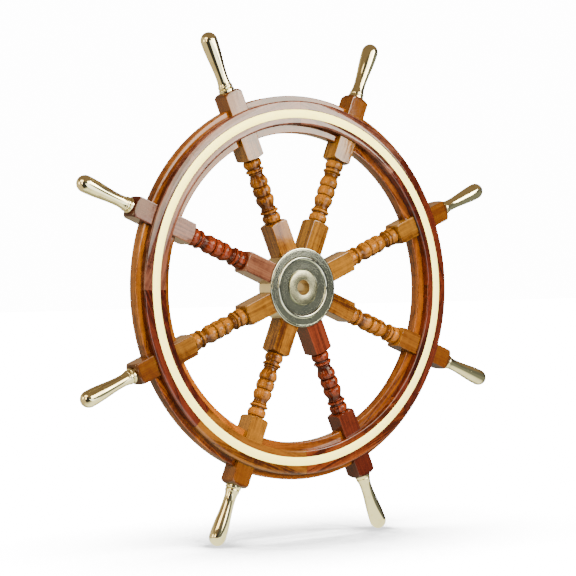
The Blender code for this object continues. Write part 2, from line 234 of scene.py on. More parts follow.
def spline(points, steps):
    """A smooth curve through points, as Catmull-Rom."""
    found = []
    count = len(points)
    for i in range(count - 1):
        p0 = Vector(points[max(i - 1, 0)])
        p1 = Vector(points[i])
        p2 = Vector(points[i + 1])
        p3 = Vector(points[min(i + 2, count - 1)])
        for k in range(steps):
            t = k / steps
            found.append(
                tuple(
                    0.5 * (2 * p1 + (p2 - p0) * t + (2 * p0 - 5 * p1 + 4 * p2 - p3) * t * t
                           + (3 * p1 - p0 - 3 * p2 + p3) * t ** 3)
                )
            )
    found.append(tuple(points[-1]))
    return found


def ellipse_bead(centre, half, low, high, steps):
    """(height, radius) over a rounded bead."""
    found = []
    for k in range(steps + 1):
        angle = math.pi * k / steps
        found.append((centre - half * math.cos(angle), low + (high - low) * math.sin(angle)))
    return found


def piece(name, mesh, place, body, nodes, mat):
    """Put a mesh in its place as a piece that rides on a body."""
    mesh.transform(place)
    mesh.materials.append(mat)
    obj = bpy.data.objects.new(name, mesh)
    bpy.context.scene.collection.objects.link(obj)
    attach(obj, body)
    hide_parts(*nodes)
    return obj


def slot_of(node):
    """The material slot that the record gives a node."""
    for entry in frame["record"]["subparts"]:
        if entry["node"] == node:
            return entry["material_slot"]
    raise KeyError(node)


# ---------------------------------------------------------------- spoke shape
def turning_half():
    """(distance from the middle, radius) along one half of the turned length."""
    half = [(s, r) for s, r in ellipse_bead(0.0, 0.0080, 0.0122, 0.0158, 24) if s >= -1e-9]
    half += spline(
        [
            (0.0080, 0.0122),
            (0.0088, 0.0131),
            (0.0110, 0.0150),
            (0.0140, 0.0158),
            (0.0172, 0.0157),
            (0.0212, 0.0145),
            (0.0252, 0.0127),
            (0.0288, 0.0117),
            (0.0304, 0.0117),
        ],
        4,
    )[1:]
    half += ellipse_bead(0.0322, 0.0015, 0.0120, 0.0132, 8)
    half += [(0.0340, 0.0122)]
    half += ellipse_bead(0.0368, 0.0026, 0.0124, 0.0160, 14)
    half += [(0.0397, 0.0123), (0.0420, 0.0123)]
    half += ellipse_bead(0.0489, 0.0066, 0.0124, 0.0158, 22)
    half += [(0.0559, 0.0121)]
    return half


def spoke_outline():
    """(distance along the spoke, turned radius) from the hub end to the grip end."""
    middle = (TURNING_START + TURNING_END) / 2.0
    shoulder = (TURNING_END - TURNING_START) / 2.0
    corner = SPOKE_WIDTH / math.sqrt(2.0) + 0.0008  # clears the corners of a block
    rise = corner - SHOULDER_RADIUS
    half = turning_half()
    half += [(shoulder - 0.0004, 0.0124), (shoulder - 0.0001, 0.0136), (shoulder, SHOULDER_RADIUS)]
    for k in range(1, SHOULDER_STEPS + 1):
        turn = math.pi / 2.0 * k / SHOULDER_STEPS
        at = shoulder + SHOULDER_LENGTH * (1.0 - math.cos(turn))
        half.append((at, SHOULDER_RADIUS + rise * math.sin(turn)))
    line = [(SPOKE_START, corner)]
    line += [(middle - s, r) for s, r in reversed(half)]
    line += [(middle + s, r) for s, r in half[1:]]
    for k in range(SHOULDER_STEPS + 1):
        turn = math.pi / 2.0 * k / SHOULDER_STEPS
        at = SPOKE_END - TIP_LENGTH * (1.0 - math.sin(turn))
        line.append((at, SHOULDER_RADIUS + rise * math.cos(turn)))
    return line


def square_reach(angle, half, fillet):
    """Distance from the middle to the side of a square with rounded corners."""
    fold = abs((angle + math.pi / 4.0) % (math.pi / 2.0) - math.pi / 4.0)
    flat = math.atan2(half - fillet, half)
    if fold <= flat:
        return half / math.cos(fold)
    centre = math.hypot(half - fillet, half - fillet)
    off = math.pi / 4.0 - fold
    return centre * math.cos(off) + math.sqrt(fillet ** 2 - (centre * math.sin(off)) ** 2)


def spoke_angles():
    """Angles around a spoke, closer together towards the corners of its blocks."""
    from_corner = [math.radians(a) for a in (45.0, 36.0, 27.0, 18.5, 11.0, 6.0, 3.0, 1.7, 0.6)]
    found = []
    for quadrant in range(4):
        middle = math.pi / 4.0 + quadrant * math.pi / 2.0
        found += [middle - a for a in from_corner]
        found += [middle + a for a in reversed(from_corner[1:])]
    return found


def spoke_mesh():
    """A square bar cut back to the turned outline."""
    angles = spoke_angles()
    reaches = [square_reach(a, SPOKE_WIDTH / 2.0, BLOCK_EDGE) for a in angles]
    rings = []
    for s, radius in spoke_outline():
        ring = []
        for angle, reach in zip(angles, reaches):
            r = min(radius, reach)
            ring.append((r * math.cos(angle), r * math.sin(angle), s))
        rings.append(ring)
    return skin("spoke", rings, sharp=30.0)


# ---------------------------------------------------------------- grip shape
def handle_outline():
    """(radius, distance along the spoke) from the tip of a grip, down its waist, to its collar."""
    base = SPOKE_END + GAP
    ball, ball_long, neck = 0.0142, 0.0150, 0.0101
    ball_at = WHEEL_RADIUS - ball_long
    neck_at = base + 0.0240
    fullness = 1.05
    ball_steps, taper_steps = 16, 32
    points = [(0.0, WHEEL_RADIUS)]
    for k in range(1, ball_steps + 1):
        angle = math.pi / 2.0 * (1.0 - k / ball_steps)
        points.append((ball * math.cos(angle), ball_at + ball_long * math.sin(angle)))
    for k in range(1, taper_steps + 1):
        part = k / taper_steps
        blend = (1.0 + math.cos(math.pi * part ** fullness)) / 2.0
        points.append((neck + (ball - neck) * blend, ball_at + (neck_at - ball_at) * part))
    foot = [(neck, neck_at), (0.0103, base + 0.0185), (0.0108, base + 0.0145), (0.0114, base + 0.0119)]
    points += spline(foot, 5)[1:]
    bead = ellipse_bead(0.0086, 0.0027, 0.0114, 0.0124, 10)
    points += [(r, base + s) for s, r in reversed(bead)]
    collar = [
        (0.0112, base + 0.0056, 0.0),
        (0.0132, base + 0.0050, 0.0012),
        (0.0132, base, 0.0005),
        (0.0, base, 0.0),
    ]
    return points + rounded(collar, closed=False)


# ---------------------------------------------------------------- rim shapes
def arc_piece(name, stations):
    """Skin over (section, angle function) stations; each section is (radius, height) points."""
    rings = []
    for section, angle_at in stations:
        ring = []
        for r, z in section:
            angle = angle_at(r)
            ring.append((r * math.cos(angle), r * math.sin(angle), z))
        rings.append(ring)
    return skin(name, rings, sharp=35.0)


def plane_angle(offset):
    """Angle at which a plane parallel to +X, offset from it, meets each radius."""
    return lambda r: math.asin(offset / r)


def between(first, last, share):
    """An angle function part of the way from one to another."""
    return lambda r: first(r) + (last(r) - first(r)) * share


def face_section(back, grooved):
    """Section of the front or back layer, with or without the groove for the inlay."""
    corners = [
        (FACE_OUTER, back, 0.0004),
        (FACE_INNER, back, 0.0004),
        (FACE_INNER, FACE_DEPTH, FACE_ROUND),
    ]
    if grooved:
        floor = INLAY_BACK - GAP
        corners += [
            (INLAY_INNER - GAP, FACE_DEPTH, 0.0002),
            (INLAY_INNER - GAP, floor, 0.0),
            (INLAY_OUTER + GAP, floor, 0.0),
            (INLAY_OUTER + GAP, FACE_DEPTH, 0.0002),
        ]
    corners.append((FACE_OUTER, FACE_DEPTH, FACE_ROUND))
    return rounded(corners)


def face_mesh(name, grooved):
    """One of eight lengths of the front or back layer, notched over its spoke."""
    low = face_section(FACE_BACK, grooved)
    high = face_section(HUB_HALF + GAP, grooved)
    side_steps, notch_steps = 14, 6
    joint = lambda r: PITCH / 2.0 - math.asin(GAP / 2.0 / r)
    wall = plane_angle(SPOKE_WIDTH / 2.0 + GAP)
    minus = lambda f: (lambda r: -f(r))
    sides = [k / side_steps for k in range(side_steps + 1)]
    notch = [k / notch_steps for k in range(notch_steps + 1)]
    stations = [(low, between(minus(joint), minus(wall), share)) for share in sides]
    stations += [(high, between(minus(wall), wall, share)) for share in notch]
    stations += [(low, between(wall, joint, share)) for share in sides]
    return arc_piece(name, stations)


def felloe_mesh():
    """One block of the middle layer, between two spokes."""
    corners = [
        (RIM_OUTER, -LAYER_TOP, FELLOE_ROUND),
        (RIM_OUTER - FELLOE_FLAT, -LAYER_TOP, 0.0),
        (RIM_INNER + FELLOE_FLAT, -LAYER_TOP, 0.0),
        (RIM_INNER, -LAYER_TOP, FELLOE_ROUND),
        (RIM_INNER, LAYER_TOP, FELLOE_ROUND),
        (RIM_INNER + FELLOE_FLAT, LAYER_TOP, 0.0),
        (RIM_OUTER - FELLOE_FLAT, LAYER_TOP, 0.0),
        (RIM_OUTER, LAYER_TOP, FELLOE_ROUND),
    ]
    section = rounded(corners)
    wall = plane_angle(SPOKE_WIDTH / 2.0 + GAP)
    first = lambda r: wall(r) - PITCH / 2.0
    last = lambda r: PITCH / 2.0 - wall(r)
    steps = 24
    return arc_piece("felloe", [(section, between(first, last, k / steps)) for k in range(steps + 1)])


# ---------------------------------------------------------------- hub shapes
def front_plate_profile():
    """(radius, height) round the front plate: rim, groove, bead, dish and the seat for the bush."""
    corners = [
        (BEAD_OUTER, PLATE_FACE, 0.0003),
        (BEAD_OUTER + 0.0004, PLATE_FACE, 0.0),
        (GROOVE_INNER - GROOVE_SLOPE, PLATE_FACE, 0.0),
        (GROOVE_INNER, PLATE_FACE, 0.0002),
        (GROOVE_INNER + GROOVE_SLOPE, PLATE_FACE - GROOVE_DEPTH, 0.0),
        (GROOVE_OUTER - GROOVE_SLOPE, PLATE_FACE - GROOVE_DEPTH, 0.0),
        (GROOVE_OUTER, PLATE_FACE, 0.0003),
        (GROOVE_OUTER + GROOVE_SLOPE, PLATE_FACE, 0.0),
        (FRONT_PLATE_RADIUS - PLATE_FLAT, PLATE_FACE, 0.0),
        (FRONT_PLATE_RADIUS, PLATE_FACE, PLATE_ROUND),
        (FRONT_PLATE_RADIUS, PLATE_SEAT, 0.0002),
        (HUB_BORE, PLATE_SEAT, 0.0),
        (HUB_BORE, FLANGE_FACE - FLANGE_THICK - GAP, 0.0),
        (FLANGE_RADIUS + 0.0009, FLANGE_FACE - FLANGE_THICK - GAP, 0.0),
        (FLANGE_RADIUS + 0.0011, PLATE_FACE - DISH - 0.0002, 0.0),
    ]
    outline = rounded(corners, closed=False)
    dish = spline(
        [
            (FLANGE_RADIUS + 0.0014, PLATE_FACE - DISH),
            (0.0360, PLATE_FACE - DISH),
            (0.0410, PLATE_FACE - DISH),
            (BEAD_INNER - 0.0002, PLATE_FACE - DISH + 0.0001),
        ],
        6,
    )
    half = (BEAD_OUTER - BEAD_INNER) / 2.0
    bead = ellipse_bead(BEAD_MIDDLE, half, PLATE_FACE - 0.0005, BEAD_TOP, 18)
    return outline + dish + bead[:-1]


def drum_mesh():
    """The drum's outline has a square-cornered pocket for each spoke."""
    outline = []
    half = SPOKE_WIDTH / 2.0 + GAP
    floor = SPOKE_START - GAP
    edge = math.asin(half / DRUM_RADIUS)
    arc_steps, bore_steps = 8, 64
    for index in range(SPOKES):
        angle = PITCH * (index + 0.5)
        turn = Matrix.Rotation(angle, 2)
        for x, y in ((DRUM_RADIUS * math.cos(edge), -half), (floor, -half), (floor, half)):
            outline.append(turn @ Vector((x, y)))
        for k in range(arc_steps):
            around = angle + edge + (PITCH - 2.0 * edge) * k / arc_steps
            outline.append(Vector((DRUM_RADIUS * math.cos(around), DRUM_RADIUS * math.sin(around))))
    curve = bpy.data.curves.new("drum_outline", "CURVE")
    curve.dimensions = "2D"
    curve.fill_mode = "BOTH"
    curve.extrude = HUB_HALF
    bore = [
        Vector((HUB_BORE * math.cos(a), HUB_BORE * math.sin(a)))
        for a in (2.0 * math.pi * i / bore_steps for i in range(bore_steps))
    ]
    for loop in (outline, bore):
        line = curve.splines.new("POLY")
        line.points.add(len(loop) - 1)
        for point, at in zip(line.points, loop):
            point.co = (at.x, at.y, 0.0, 1.0)
        line.use_cyclic_u = True
    guide = bpy.data.objects.new("drum_outline", curve)
    bpy.context.scene.collection.objects.link(guide)
    mesh = bpy.data.meshes.new_from_object(guide.evaluated_get(bpy.context.evaluated_depsgraph_get()))
    bpy.data.objects.remove(guide)
    shape = bmesh.new()
    shape.from_mesh(mesh)
    return finish_mesh("hub_drum", shape, 25.0)


def bolt_mesh():
    """Round head with a screwdriver slot, and its shank; local +Z is the front."""
    seat = -PLATE_FACE - GAP
    head = [
        (0.0, seat - BOLT_HEAD_HEIGHT),
        (0.0022, seat - 0.0029),
        (0.0036, seat - 0.0022),
        (BOLT_HEAD_RADIUS, seat - 0.0007),
    ]
    profile = spline(head, 4) + [
        (BOLT_HEAD_RADIUS, seat),
        (BOLT_RADIUS, seat),
        (BOLT_RADIUS, BOLT_END - 0.0004),
        (BOLT_RADIUS - 0.0004, BOLT_END),
        (0.0, BOLT_END),
    ]
    mesh = revolve("hub_bolt", profile, 40, closed=False)
    obj = bpy.data.objects.new("bolt_blank", mesh)
    slot = bpy.data.meshes.new("slot_cutter")
    shape = bmesh.new()
    bmesh.ops.create_cube(shape, size=1.0)
    bmesh.ops.scale(shape, vec=SLOT_SIZE, verts=shape.verts)
    bmesh.ops.translate(shape, vec=(0.0, 0.0, seat - BOLT_HEAD_HEIGHT), verts=shape.verts)
    shape.to_mesh(slot)
    shape.free()
    tool = bpy.data.objects.new("slot_cutter", slot)
    for o in (obj, tool):
        bpy.context.scene.collection.objects.link(o)
    cut = obj.modifiers.new("slot", "BOOLEAN")
    cut.object = tool
    cut.operation = "DIFFERENCE"
    bpy.context.view_layer.update()
    found = bpy.data.meshes.new_from_object(obj.evaluated_get(bpy.context.evaluated_depsgraph_get()))
    for o in (obj, tool):
        bpy.data.objects.remove(o)
    shape = bmesh.new()
    shape.from_mesh(found)
    return finish_mesh("hub_bolt", shape, 30.0)


# ---------------------------------------------------------------- material helpers
def fill_ramp(node, marks):
    """Fill a colour ramp with (position, colour) marks."""
    items = node.color_ramp.elements
    while len(items) < len(marks):
        items.new(0.5)
    for item, (at, colour) in zip(items, marks):
        item.position = at
        item.color = (*colour, 1.0)


class Tree:
    """Short calls for building a node tree."""

    def __init__(self, tree):
        self.tree = tree

    def add(self, kind, **settings):
        node = self.tree.nodes.new(kind)
        for key, value in settings.items():
            setattr(node, key, value)
        return node

    def link(self, source, target):
        self.tree.links.new(source, target)

    def feed(self, socket, value):
        if isinstance(value, bpy.types.NodeSocket):
            self.link(value, socket)
        else:
            socket.default_value = value

    def math(self, operation, a, b=0.0):
        node = self.add("ShaderNodeMath", operation=operation)
        self.feed(node.inputs[0], a)
        self.feed(node.inputs[1], b)
        return node.outputs[0]

    def remap(self, value, low, high, to_low=0.0, to_high=1.0, smooth=True):
        node = self.add("ShaderNodeMapRange", interpolation_type="SMOOTHSTEP" if smooth else "LINEAR")
        self.feed(node.inputs["Value"], value)
        node.inputs["From Min"].default_value = low
        node.inputs["From Max"].default_value = high
        node.inputs["To Min"].default_value = to_low
        node.inputs["To Max"].default_value = to_high
        return node.outputs["Result"]

    def split(self, vector):
        node = self.add("ShaderNodeSeparateXYZ")
        self.link(vector, node.inputs[0])
        return node.outputs

    def mix(self, factor, a, b):
        node = self.add("ShaderNodeMix", data_type="RGBA")
        self.feed(node.inputs["Factor"], factor)
        self.feed(node.inputs["A"], (*a, 1.0) if isinstance(a, tuple) else a)
        self.feed(node.inputs["B"], (*b, 1.0) if isinstance(b, tuple) else b)
        return node.outputs["Result"]

    def ramp(self, factor, marks):
        node = self.add("ShaderNodeValToRGB")
        self.link(factor, node.inputs["Fac"])
        fill_ramp(node, marks)
        return node.outputs["Color"]


class Surface(Tree):
    """The material of one piece, textured in the piece's own frame."""

    def __init__(self, name, place, lay=Matrix()):
        """place puts the piece in the world; lay turns its local frame to suit the texture."""
        self.turn = (lay @ place.inverted()).to_euler()
        self.mat = bpy.data.materials.new(name)
        self.mat.use_nodes = True
        super().__init__(self.mat.node_tree)
        self.shader = self.tree.nodes["Principled BSDF"]

    def local(self):
        """Coordinates in the local frame of the piece."""
        source = self.add("ShaderNodeTexCoord").outputs["Object"]
        node = self.add("ShaderNodeMapping")
        self.link(source, node.inputs["Vector"])
        node.inputs["Rotation"].default_value = self.turn
        return node.outputs[0]

    def coords(self, scale=(1.0, 1.0, 1.0), shift=(0.0, 0.0, 0.0)):
        node = self.add("ShaderNodeMapping")
        self.link(self.local(), node.inputs["Vector"])
        node.inputs["Scale"].default_value = scale
        node.inputs["Location"].default_value = shift
        return node.outputs[0]

    def radius(self):
        """Distance from the local Z axis, and the local height."""
        parts = self.split(self.local())
        x2 = self.math("MULTIPLY", parts["X"], parts["X"])
        y2 = self.math("MULTIPLY", parts["Y"], parts["Y"])
        return self.math("SQRT", self.math("ADD", x2, y2)), parts["Z"]

    def noise(self, vector, scale, detail=4.0, rough=0.55, distortion=0.0):
        node = self.add("ShaderNodeTexNoise")
        self.link(vector, node.inputs["Vector"])
        node.inputs["Scale"].default_value = scale
        node.inputs["Detail"].default_value = detail
        node.inputs["Roughness"].default_value = rough
        node.inputs["Distortion"].default_value = distortion
        return node.outputs["Fac"]

    def bump(self, height, strength, distance):
        node = self.add("ShaderNodeBump")
        self.link(height, node.inputs["Height"])
        node.inputs["Strength"].default_value = strength
        node.inputs["Distance"].default_value = distance
        return node.outputs["Normal"]


# ---------------------------------------------------------------- materials
# light, middle and dark grain of each wood in the record
TONES = {
    "wood_gold": ((0.1092, 0.04784, 0.00468), (0.0728, 0.02704, 0.0026), (0.02704, 0.00728, 0.00104)),
    "wood_amber": ((0.117, 0.04784, 0.00416), (0.0754, 0.02548, 0.00208), (0.026, 0.00624, 0.00104)),
    "wood_rust": ((0.1222, 0.0312, 0.00416), (0.0754, 0.01456, 0.00208), (0.026, 0.00416, 0.00078)),
    "wood_red": ((0.065, 0.01144, 0.00364), (0.03848, 0.00598, 0.00208), (0.01352, 0.00182, 0.00078)),
    "wood_mauve": ((0.0988, 0.04056, 0.02184), (0.0624, 0.02184, 0.01144), (0.02496, 0.00676, 0.00364)),
}
# what each kind of piece, or one piece alone, is multiplied by
TINTS = {
    "spoke": (1.0, 0.97, 1.0),
    "front_rim": (0.76, 0.66, 0.72),
    "felloe": (0.86, 0.58, 0.55),
    "felloe_4": (1.05, 0.76, 0.55),
    "felloe_5": (1.60, 1.02, 0.60),
    "back_rim": (1.0, 0.85, 0.9),
}
# how deeply the whole outer block of a spoke is stained
DARK_ENDS = {"spoke_5": 0.20, "spoke_7": 0.35, "spoke_8": 0.50}
# spokes whose square blocks take another wood's colours, as a painted sheen
SHEEN_PAINTED_BLOCKS = {"spoke_4": "wood_mauve"}
ACROSS = Matrix.Rotation(math.radians(90.0), 4, "X")
TURNED_LIMIT = (0.0160, 0.0168)  # between these radii the turned wood ends and a block begins
GROOVE_STAIN_AND_SHADE = (0.0120, 0.0148)  # between these radii the stain and painted shade in the grooves and down the beads' flanks fade out
# distances along a spoke over which stain sets in: outside the rim, on the outer block, on its end
OUTSIDE_STAIN = (RIM_OUTER - 0.012, RIM_OUTER - 0.004)
BLOCK_STAIN = (TURNING_END - 0.002, TURNING_END + 0.004)
END_STAIN = (SPOKE_END - 0.0062, SPOKE_END - 0.0030)
# where dark, middle, light and bright grain lie on the figure
MARKS_TURNED = (0.37, 0.445, 0.52, 0.60)
MARKS_FLAT = (0.40, 0.46, 0.525, 0.60)
# clean and tarnished colours of each brass
BRASS = {
    "grip": ((0.87, 0.83, 0.52), (0.68, 0.62, 0.34)),
    "inlay": ((1.0, 0.94, 0.27), (0.99, 0.91, 0.23)),
    "front_plate": ((0.56, 0.60, 0.49), (0.38, 0.42, 0.37)),
    "back_plate": ((0.66, 0.62, 0.46), (0.44, 0.42, 0.32)),
    "drum": ((0.96, 0.89, 0.62), (0.86, 0.79, 0.54)),
    "bush": ((0.36, 0.37, 0.25), (0.30, 0.315, 0.22)),
    "collar": ((0.80, 0.72, 0.48), (0.60, 0.54, 0.36)),
}
BORE_BRASS = (0.66, 0.55, 0.34)
# dark colour painted along the front plate's bead as its reflection
BEAD_PAINTED_REFLECTION = (0.20, 0.22, 0.19)
STEEL = ((0.56, 0.57, 0.58), (0.30, 0.29, 0.27))


def shaded(colour, red, green, blue):
    """A colour with its channels multiplied."""
    return (red * colour[0], green * colour[1], blue * colour[2])


def wood(name, tone, seed, place, lay, turned, tint, blocks=None, outer=0.0):
    """Varnished wood with its grain along Z of the laid frame.

    turned is for a spoke: its turned length is lighter and less glossy than its blocks.
    blocks names another wood whose colours are painted on the blocks as a sheen, and outer stains the
    whole outer block.
    """
    light, middle, dark = (shaded(shade, *tint) for shade in TONES[tone])
    n = Surface(name, place, lay)
    shift = (0.37 * seed, 0.53 * seed, 0.71 * seed)
    slow = n.noise(n.coords((1.0, 1.0, 0.10), shift), 26.0, 3.0, 0.5, 0.6)
    bands = n.noise(n.coords((1.0, 1.0, 0.055), shift), 105.0, 5.0, 0.62, 1.2)
    fibre = n.noise(n.coords((1.0, 1.0, 0.022), shift), 620.0, 3.0, 0.6)
    ripple = n.noise(n.coords((0.30, 0.30, 1.0), shift), 120.0, 2.0, 0.5, 0.4)
    pores = n.noise(n.coords((1.0, 1.0, 0.040), shift), 900.0, 2.0, 0.5)
    figure = n.math("ADD", n.math("MULTIPLY", slow, 0.50), n.math("MULTIPLY", bands, 0.50))
    figure = n.math("ADD", figure, n.math("MULTIPLY", n.math("SUBTRACT", fibre, 0.5), 0.26))
    figure = n.math("ADD", figure, n.math("MULTIPLY", n.math("SUBTRACT", ripple, 0.5), 0.16))
    bright = tuple(min(1.0, c) for c in shaded(light, 1.35, 1.35, 1.35))
    marks = MARKS_TURNED if turned else MARKS_FLAT
    colour = n.ramp(figure, list(zip(marks, (dark, middle, light, bright))))
    pore = n.remap(pores, 0.60, 0.70)
    colour = n.mix(n.math("MULTIPLY", pore, 0.45), colour, dark)
    if turned:
        radius, height = n.radius()
        worked = n.remap(radius, *TURNED_LIMIT, 1.0, 0.0)
        # painted sheen: the blocks take the other wood's paler colours
        if blocks:
            colour = n.mix(worked, n.ramp(figure, list(zip(marks, TONES[blocks][::-1]))), colour)
        lifted = n.math("MULTIPLY", worked, n.remap(figure, 0.42, 0.56, 0.0, 0.85))
        colour = n.mix(lifted, colour, shaded(light, 1.60, 1.32, 1.0))
        outside = n.remap(height, *OUTSIDE_STAIN, 0.0, 0.72)
        if outer:
            outside = n.math("MAXIMUM", outside, n.remap(height, *BLOCK_STAIN, 0.0, outer))
        colour = n.mix(outside, colour, shaded(light, 0.48, 0.26, 0.24))
        # stain and painted shade: darker in the grooves and down the flanks of the beads
        groove_stain_and_shade = n.remap(radius, *GROOVE_STAIN_AND_SHADE, 0.85, 0.0)
        ends = n.remap(height, *END_STAIN, 0.0, 0.75)
        colour = n.mix(n.math("MAXIMUM", groove_stain_and_shade, ends), colour, dark)
    n.link(colour, n.shader.inputs["Base Color"])
    n.link(n.remap(figure, 0.3, 0.7, 0.52, 0.36), n.shader.inputs["Roughness"])
    n.shader.inputs["Specular IOR Level"].default_value = 0.0
    if turned:
        n.link(n.remap(radius, *TURNED_LIMIT, 0.60, 1.0), n.shader.inputs["Coat Weight"])
    else:
        n.shader.inputs["Coat Weight"].default_value = 1.0
    n.shader.inputs["Coat Roughness"].default_value = 0.045
    n.shader.inputs["Coat IOR"].default_value = 1.5
    peel = n.noise(n.coords((1.0, 1.0, 0.5), shift), 150.0, 2.0, 0.5)
    n.link(n.bump(n.math("SUBTRACT", fibre, pore), 0.25, 0.00010), n.shader.inputs["Normal"])
    over = n.math("ADD", peel, n.math("MULTIPLY", fibre, 0.15))
    n.link(n.bump(over, 0.20, 0.00012), n.shader.inputs["Coat Normal"])
    return n.mat


def polished_brass(name, seed, place):
    """Turned and polished brass with faint lathe lines along local Z and slight tarnish."""
    n = Surface(name, place)
    shift = (0.41 * seed, 0.29 * seed, 0.0)
    cloud = n.noise(n.coords(shift=shift), 70.0, 5.0, 0.6)
    lines = n.noise(n.coords((0.02, 0.02, 1.0), shift), 2200.0, 2.0, 0.6)
    colour = n.mix(n.remap(cloud, 0.48, 0.78), *BRASS["grip"])
    n.link(colour, n.shader.inputs["Base Color"])
    n.shader.inputs["Metallic"].default_value = 1.0
    rough = n.remap(cloud, 0.35, 0.75, 0.03, 0.08)
    n.link(n.math("ADD", rough, n.math("MULTIPLY", lines, 0.02)), n.shader.inputs["Roughness"])
    n.link(n.bump(lines, 0.08, 0.00002), n.shader.inputs["Normal"])
    return n.mat


def turned_brass(kind, seed, rough, ring_scale=1500.0, metallic=1.0, bore=None, bead=None):
    """Brass faced on a lathe: fine concentric lines about the axle, and cloudy tarnish.

    bore is another colour for the wall of the axle bore, and bead a radius along which
    a dark reflection is painted.
    """
    n = Surface(f"{kind}_brass", WHEEL_FRAME)
    radius, height = n.radius()
    join = n.add("ShaderNodeCombineXYZ")
    n.link(radius, join.inputs["X"])
    n.link(height, join.inputs["Y"])
    join.inputs["Z"].default_value = 0.17 * seed
    lines = n.noise(join.outputs[0], ring_scale, 3.0, 0.6)
    broad = n.noise(join.outputs[0], ring_scale * 0.14, 2.0, 0.5)
    cloud = n.noise(n.coords(shift=(0.31 * seed, 0.2, 0.1)), 38.0, 5.0, 0.62, 0.8)
    blend = n.math("ADD", n.math("MULTIPLY", cloud, 0.75), n.math("MULTIPLY", broad, 0.25))
    colour = n.mix(n.remap(blend, 0.42, 0.66), *BRASS[kind])
    if bore:
        inside = n.remap(radius, BORE_RADIUS + 0.0002, BORE_RADIUS + 0.0007, 1.0, 0.0)
        colour = n.mix(inside, colour, bore)
    # painted reflection: a dark band along the bead in place of the dim surroundings it mirrors
    if bead:
        away = n.math("ABSOLUTE", n.math("SUBTRACT", radius, bead))
        colour = n.mix(n.remap(away, 0.0008, 0.0022, 0.55, 0.0), colour, BEAD_PAINTED_REFLECTION)
    n.link(colour, n.shader.inputs["Base Color"])
    n.shader.inputs["Metallic"].default_value = metallic
    worn = n.remap(cloud, 0.35, 0.7, rough, rough * 1.3 + 0.02)
    n.link(n.math("ADD", worn, n.math("MULTIPLY", lines, 0.03)), n.shader.inputs["Roughness"])
    relief = n.math("ADD", lines, n.math("MULTIPLY", broad, 0.8))
    n.link(n.bump(relief, 0.02, 0.00001), n.shader.inputs["Normal"])
    return n.mat


def steel(name, seed, place):
    """Plain steel with slight grime."""
    n = Surface(name, place)
    grime = n.noise(n.coords(shift=(0.3 * seed, 0.0, 0.0)), 260.0, 4.0, 0.6)
    colour = n.mix(n.remap(grime, 0.4, 0.7), *STEEL)
    n.link(colour, n.shader.inputs["Base Color"])
    n.shader.inputs["Metallic"].default_value = 1.0
    n.link(n.remap(grime, 0.3, 0.7, 0.28, 0.48), n.shader.inputs["Roughness"])
    n.link(n.bump(grime, 0.2, 0.00006), n.shader.inputs["Normal"])
    return n.mat


# ---------------------------------------------------------------- build the pieces
spoke_shape = spoke_mesh()
handle_shape = revolve("handle", handle_outline(), 56, closed=False, sharp=40.0)
front_shape = face_mesh("front_rim", True)
back_shape = face_mesh("back_rim", False)
felloe_shape = felloe_mesh()

for index in range(SPOKES):
    number = index + 1
    angle = PITCH * (index + 0.5)
    turn = WHEEL_FRAME @ Matrix.Rotation(angle, 4, "Z")
    between_turn = WHEEL_FRAME @ Matrix.Rotation(angle + PITCH / 2.0, 4, "Z")
    along = turn @ Matrix.Rotation(math.radians(90.0), 4, "Y")
    flip = turn @ Matrix.Rotation(math.pi, 4, "X")
    for kind, shape, place, lay, first_seed in (
        ("spoke", spoke_shape, along, Matrix(), 1),
        ("front_rim", front_shape, turn, ACROSS, 12),
        ("felloe", felloe_shape, between_turn, ACROSS, 23),
        ("back_rim", back_shape, flip, ACROSS, 34),
    ):
        node = f"{kind}_{number}"
        slot = slot_of(node)
        mat = wood(
            f"{node}_wood",
            slot,
            first_seed + number,
            place,
            lay,
            turned=kind == "spoke",
            tint=TINTS.get(node, TINTS[kind]),
            blocks=SHEEN_PAINTED_BLOCKS.get(node),
            outer=DARK_ENDS.get(node, 0.0),
        )
        piece(f"{kind}_piece_{number}", shape.copy(), place, "wheel", [node], mat)
    node = f"handle_{number}"
    mat = polished_brass(f"{node}_brass", number, along)
    piece(f"handle_piece_{number}", handle_shape.copy(), along, "wheel", [node], mat)

inlay_shape = revolve(
    "inlay",
    rounded(
        [
            (INLAY_OUTER, FACE_DEPTH, 0.0002),
            (INLAY_OUTER, INLAY_BACK, 0.0),
            (INLAY_INNER, INLAY_BACK, 0.0),
            (INLAY_INNER, FACE_DEPTH, 0.0002),
        ],
        steps=2,
    ),
    256,
)
inlay_mat = turned_brass("inlay", 2, rough=0.40, ring_scale=900.0, metallic=0.1)
piece("inlay_strip", inlay_shape, WHEEL_FRAME, "wheel", ["inlay_ring"], inlay_mat)

plate_mat = turned_brass("front_plate", 3, rough=0.06, bead=BEAD_MIDDLE)
front_plate = revolve("front_plate", front_plate_profile(), 128, sharp=28.0)
piece("front_plate", front_plate, WHEEL_FRAME, "wheel", ["hub_front_plate"], plate_mat)

back_mat = turned_brass("back_plate", 4, rough=0.22)
back_plate = revolve(
    "back_plate",
    rounded(
        [
            (BACK_PLATE_RADIUS, -PLATE_SEAT, 0.0),
            (BACK_PLATE_RADIUS, -PLATE_FACE, 0.0010),
            (HUB_BORE, -PLATE_FACE, 0.0002),
            (HUB_BORE, -PLATE_SEAT, 0.0),
        ]
    ),
    128,
)
piece("back_plate", back_plate, WHEEL_FRAME, "wheel", ["hub_back_plate"], back_mat)

drum_mat = turned_brass("drum", 5, rough=0.36, ring_scale=700.0)
piece("drum", drum_mesh(), WHEEL_FRAME, "wheel", ["hub_drum"], drum_mat)

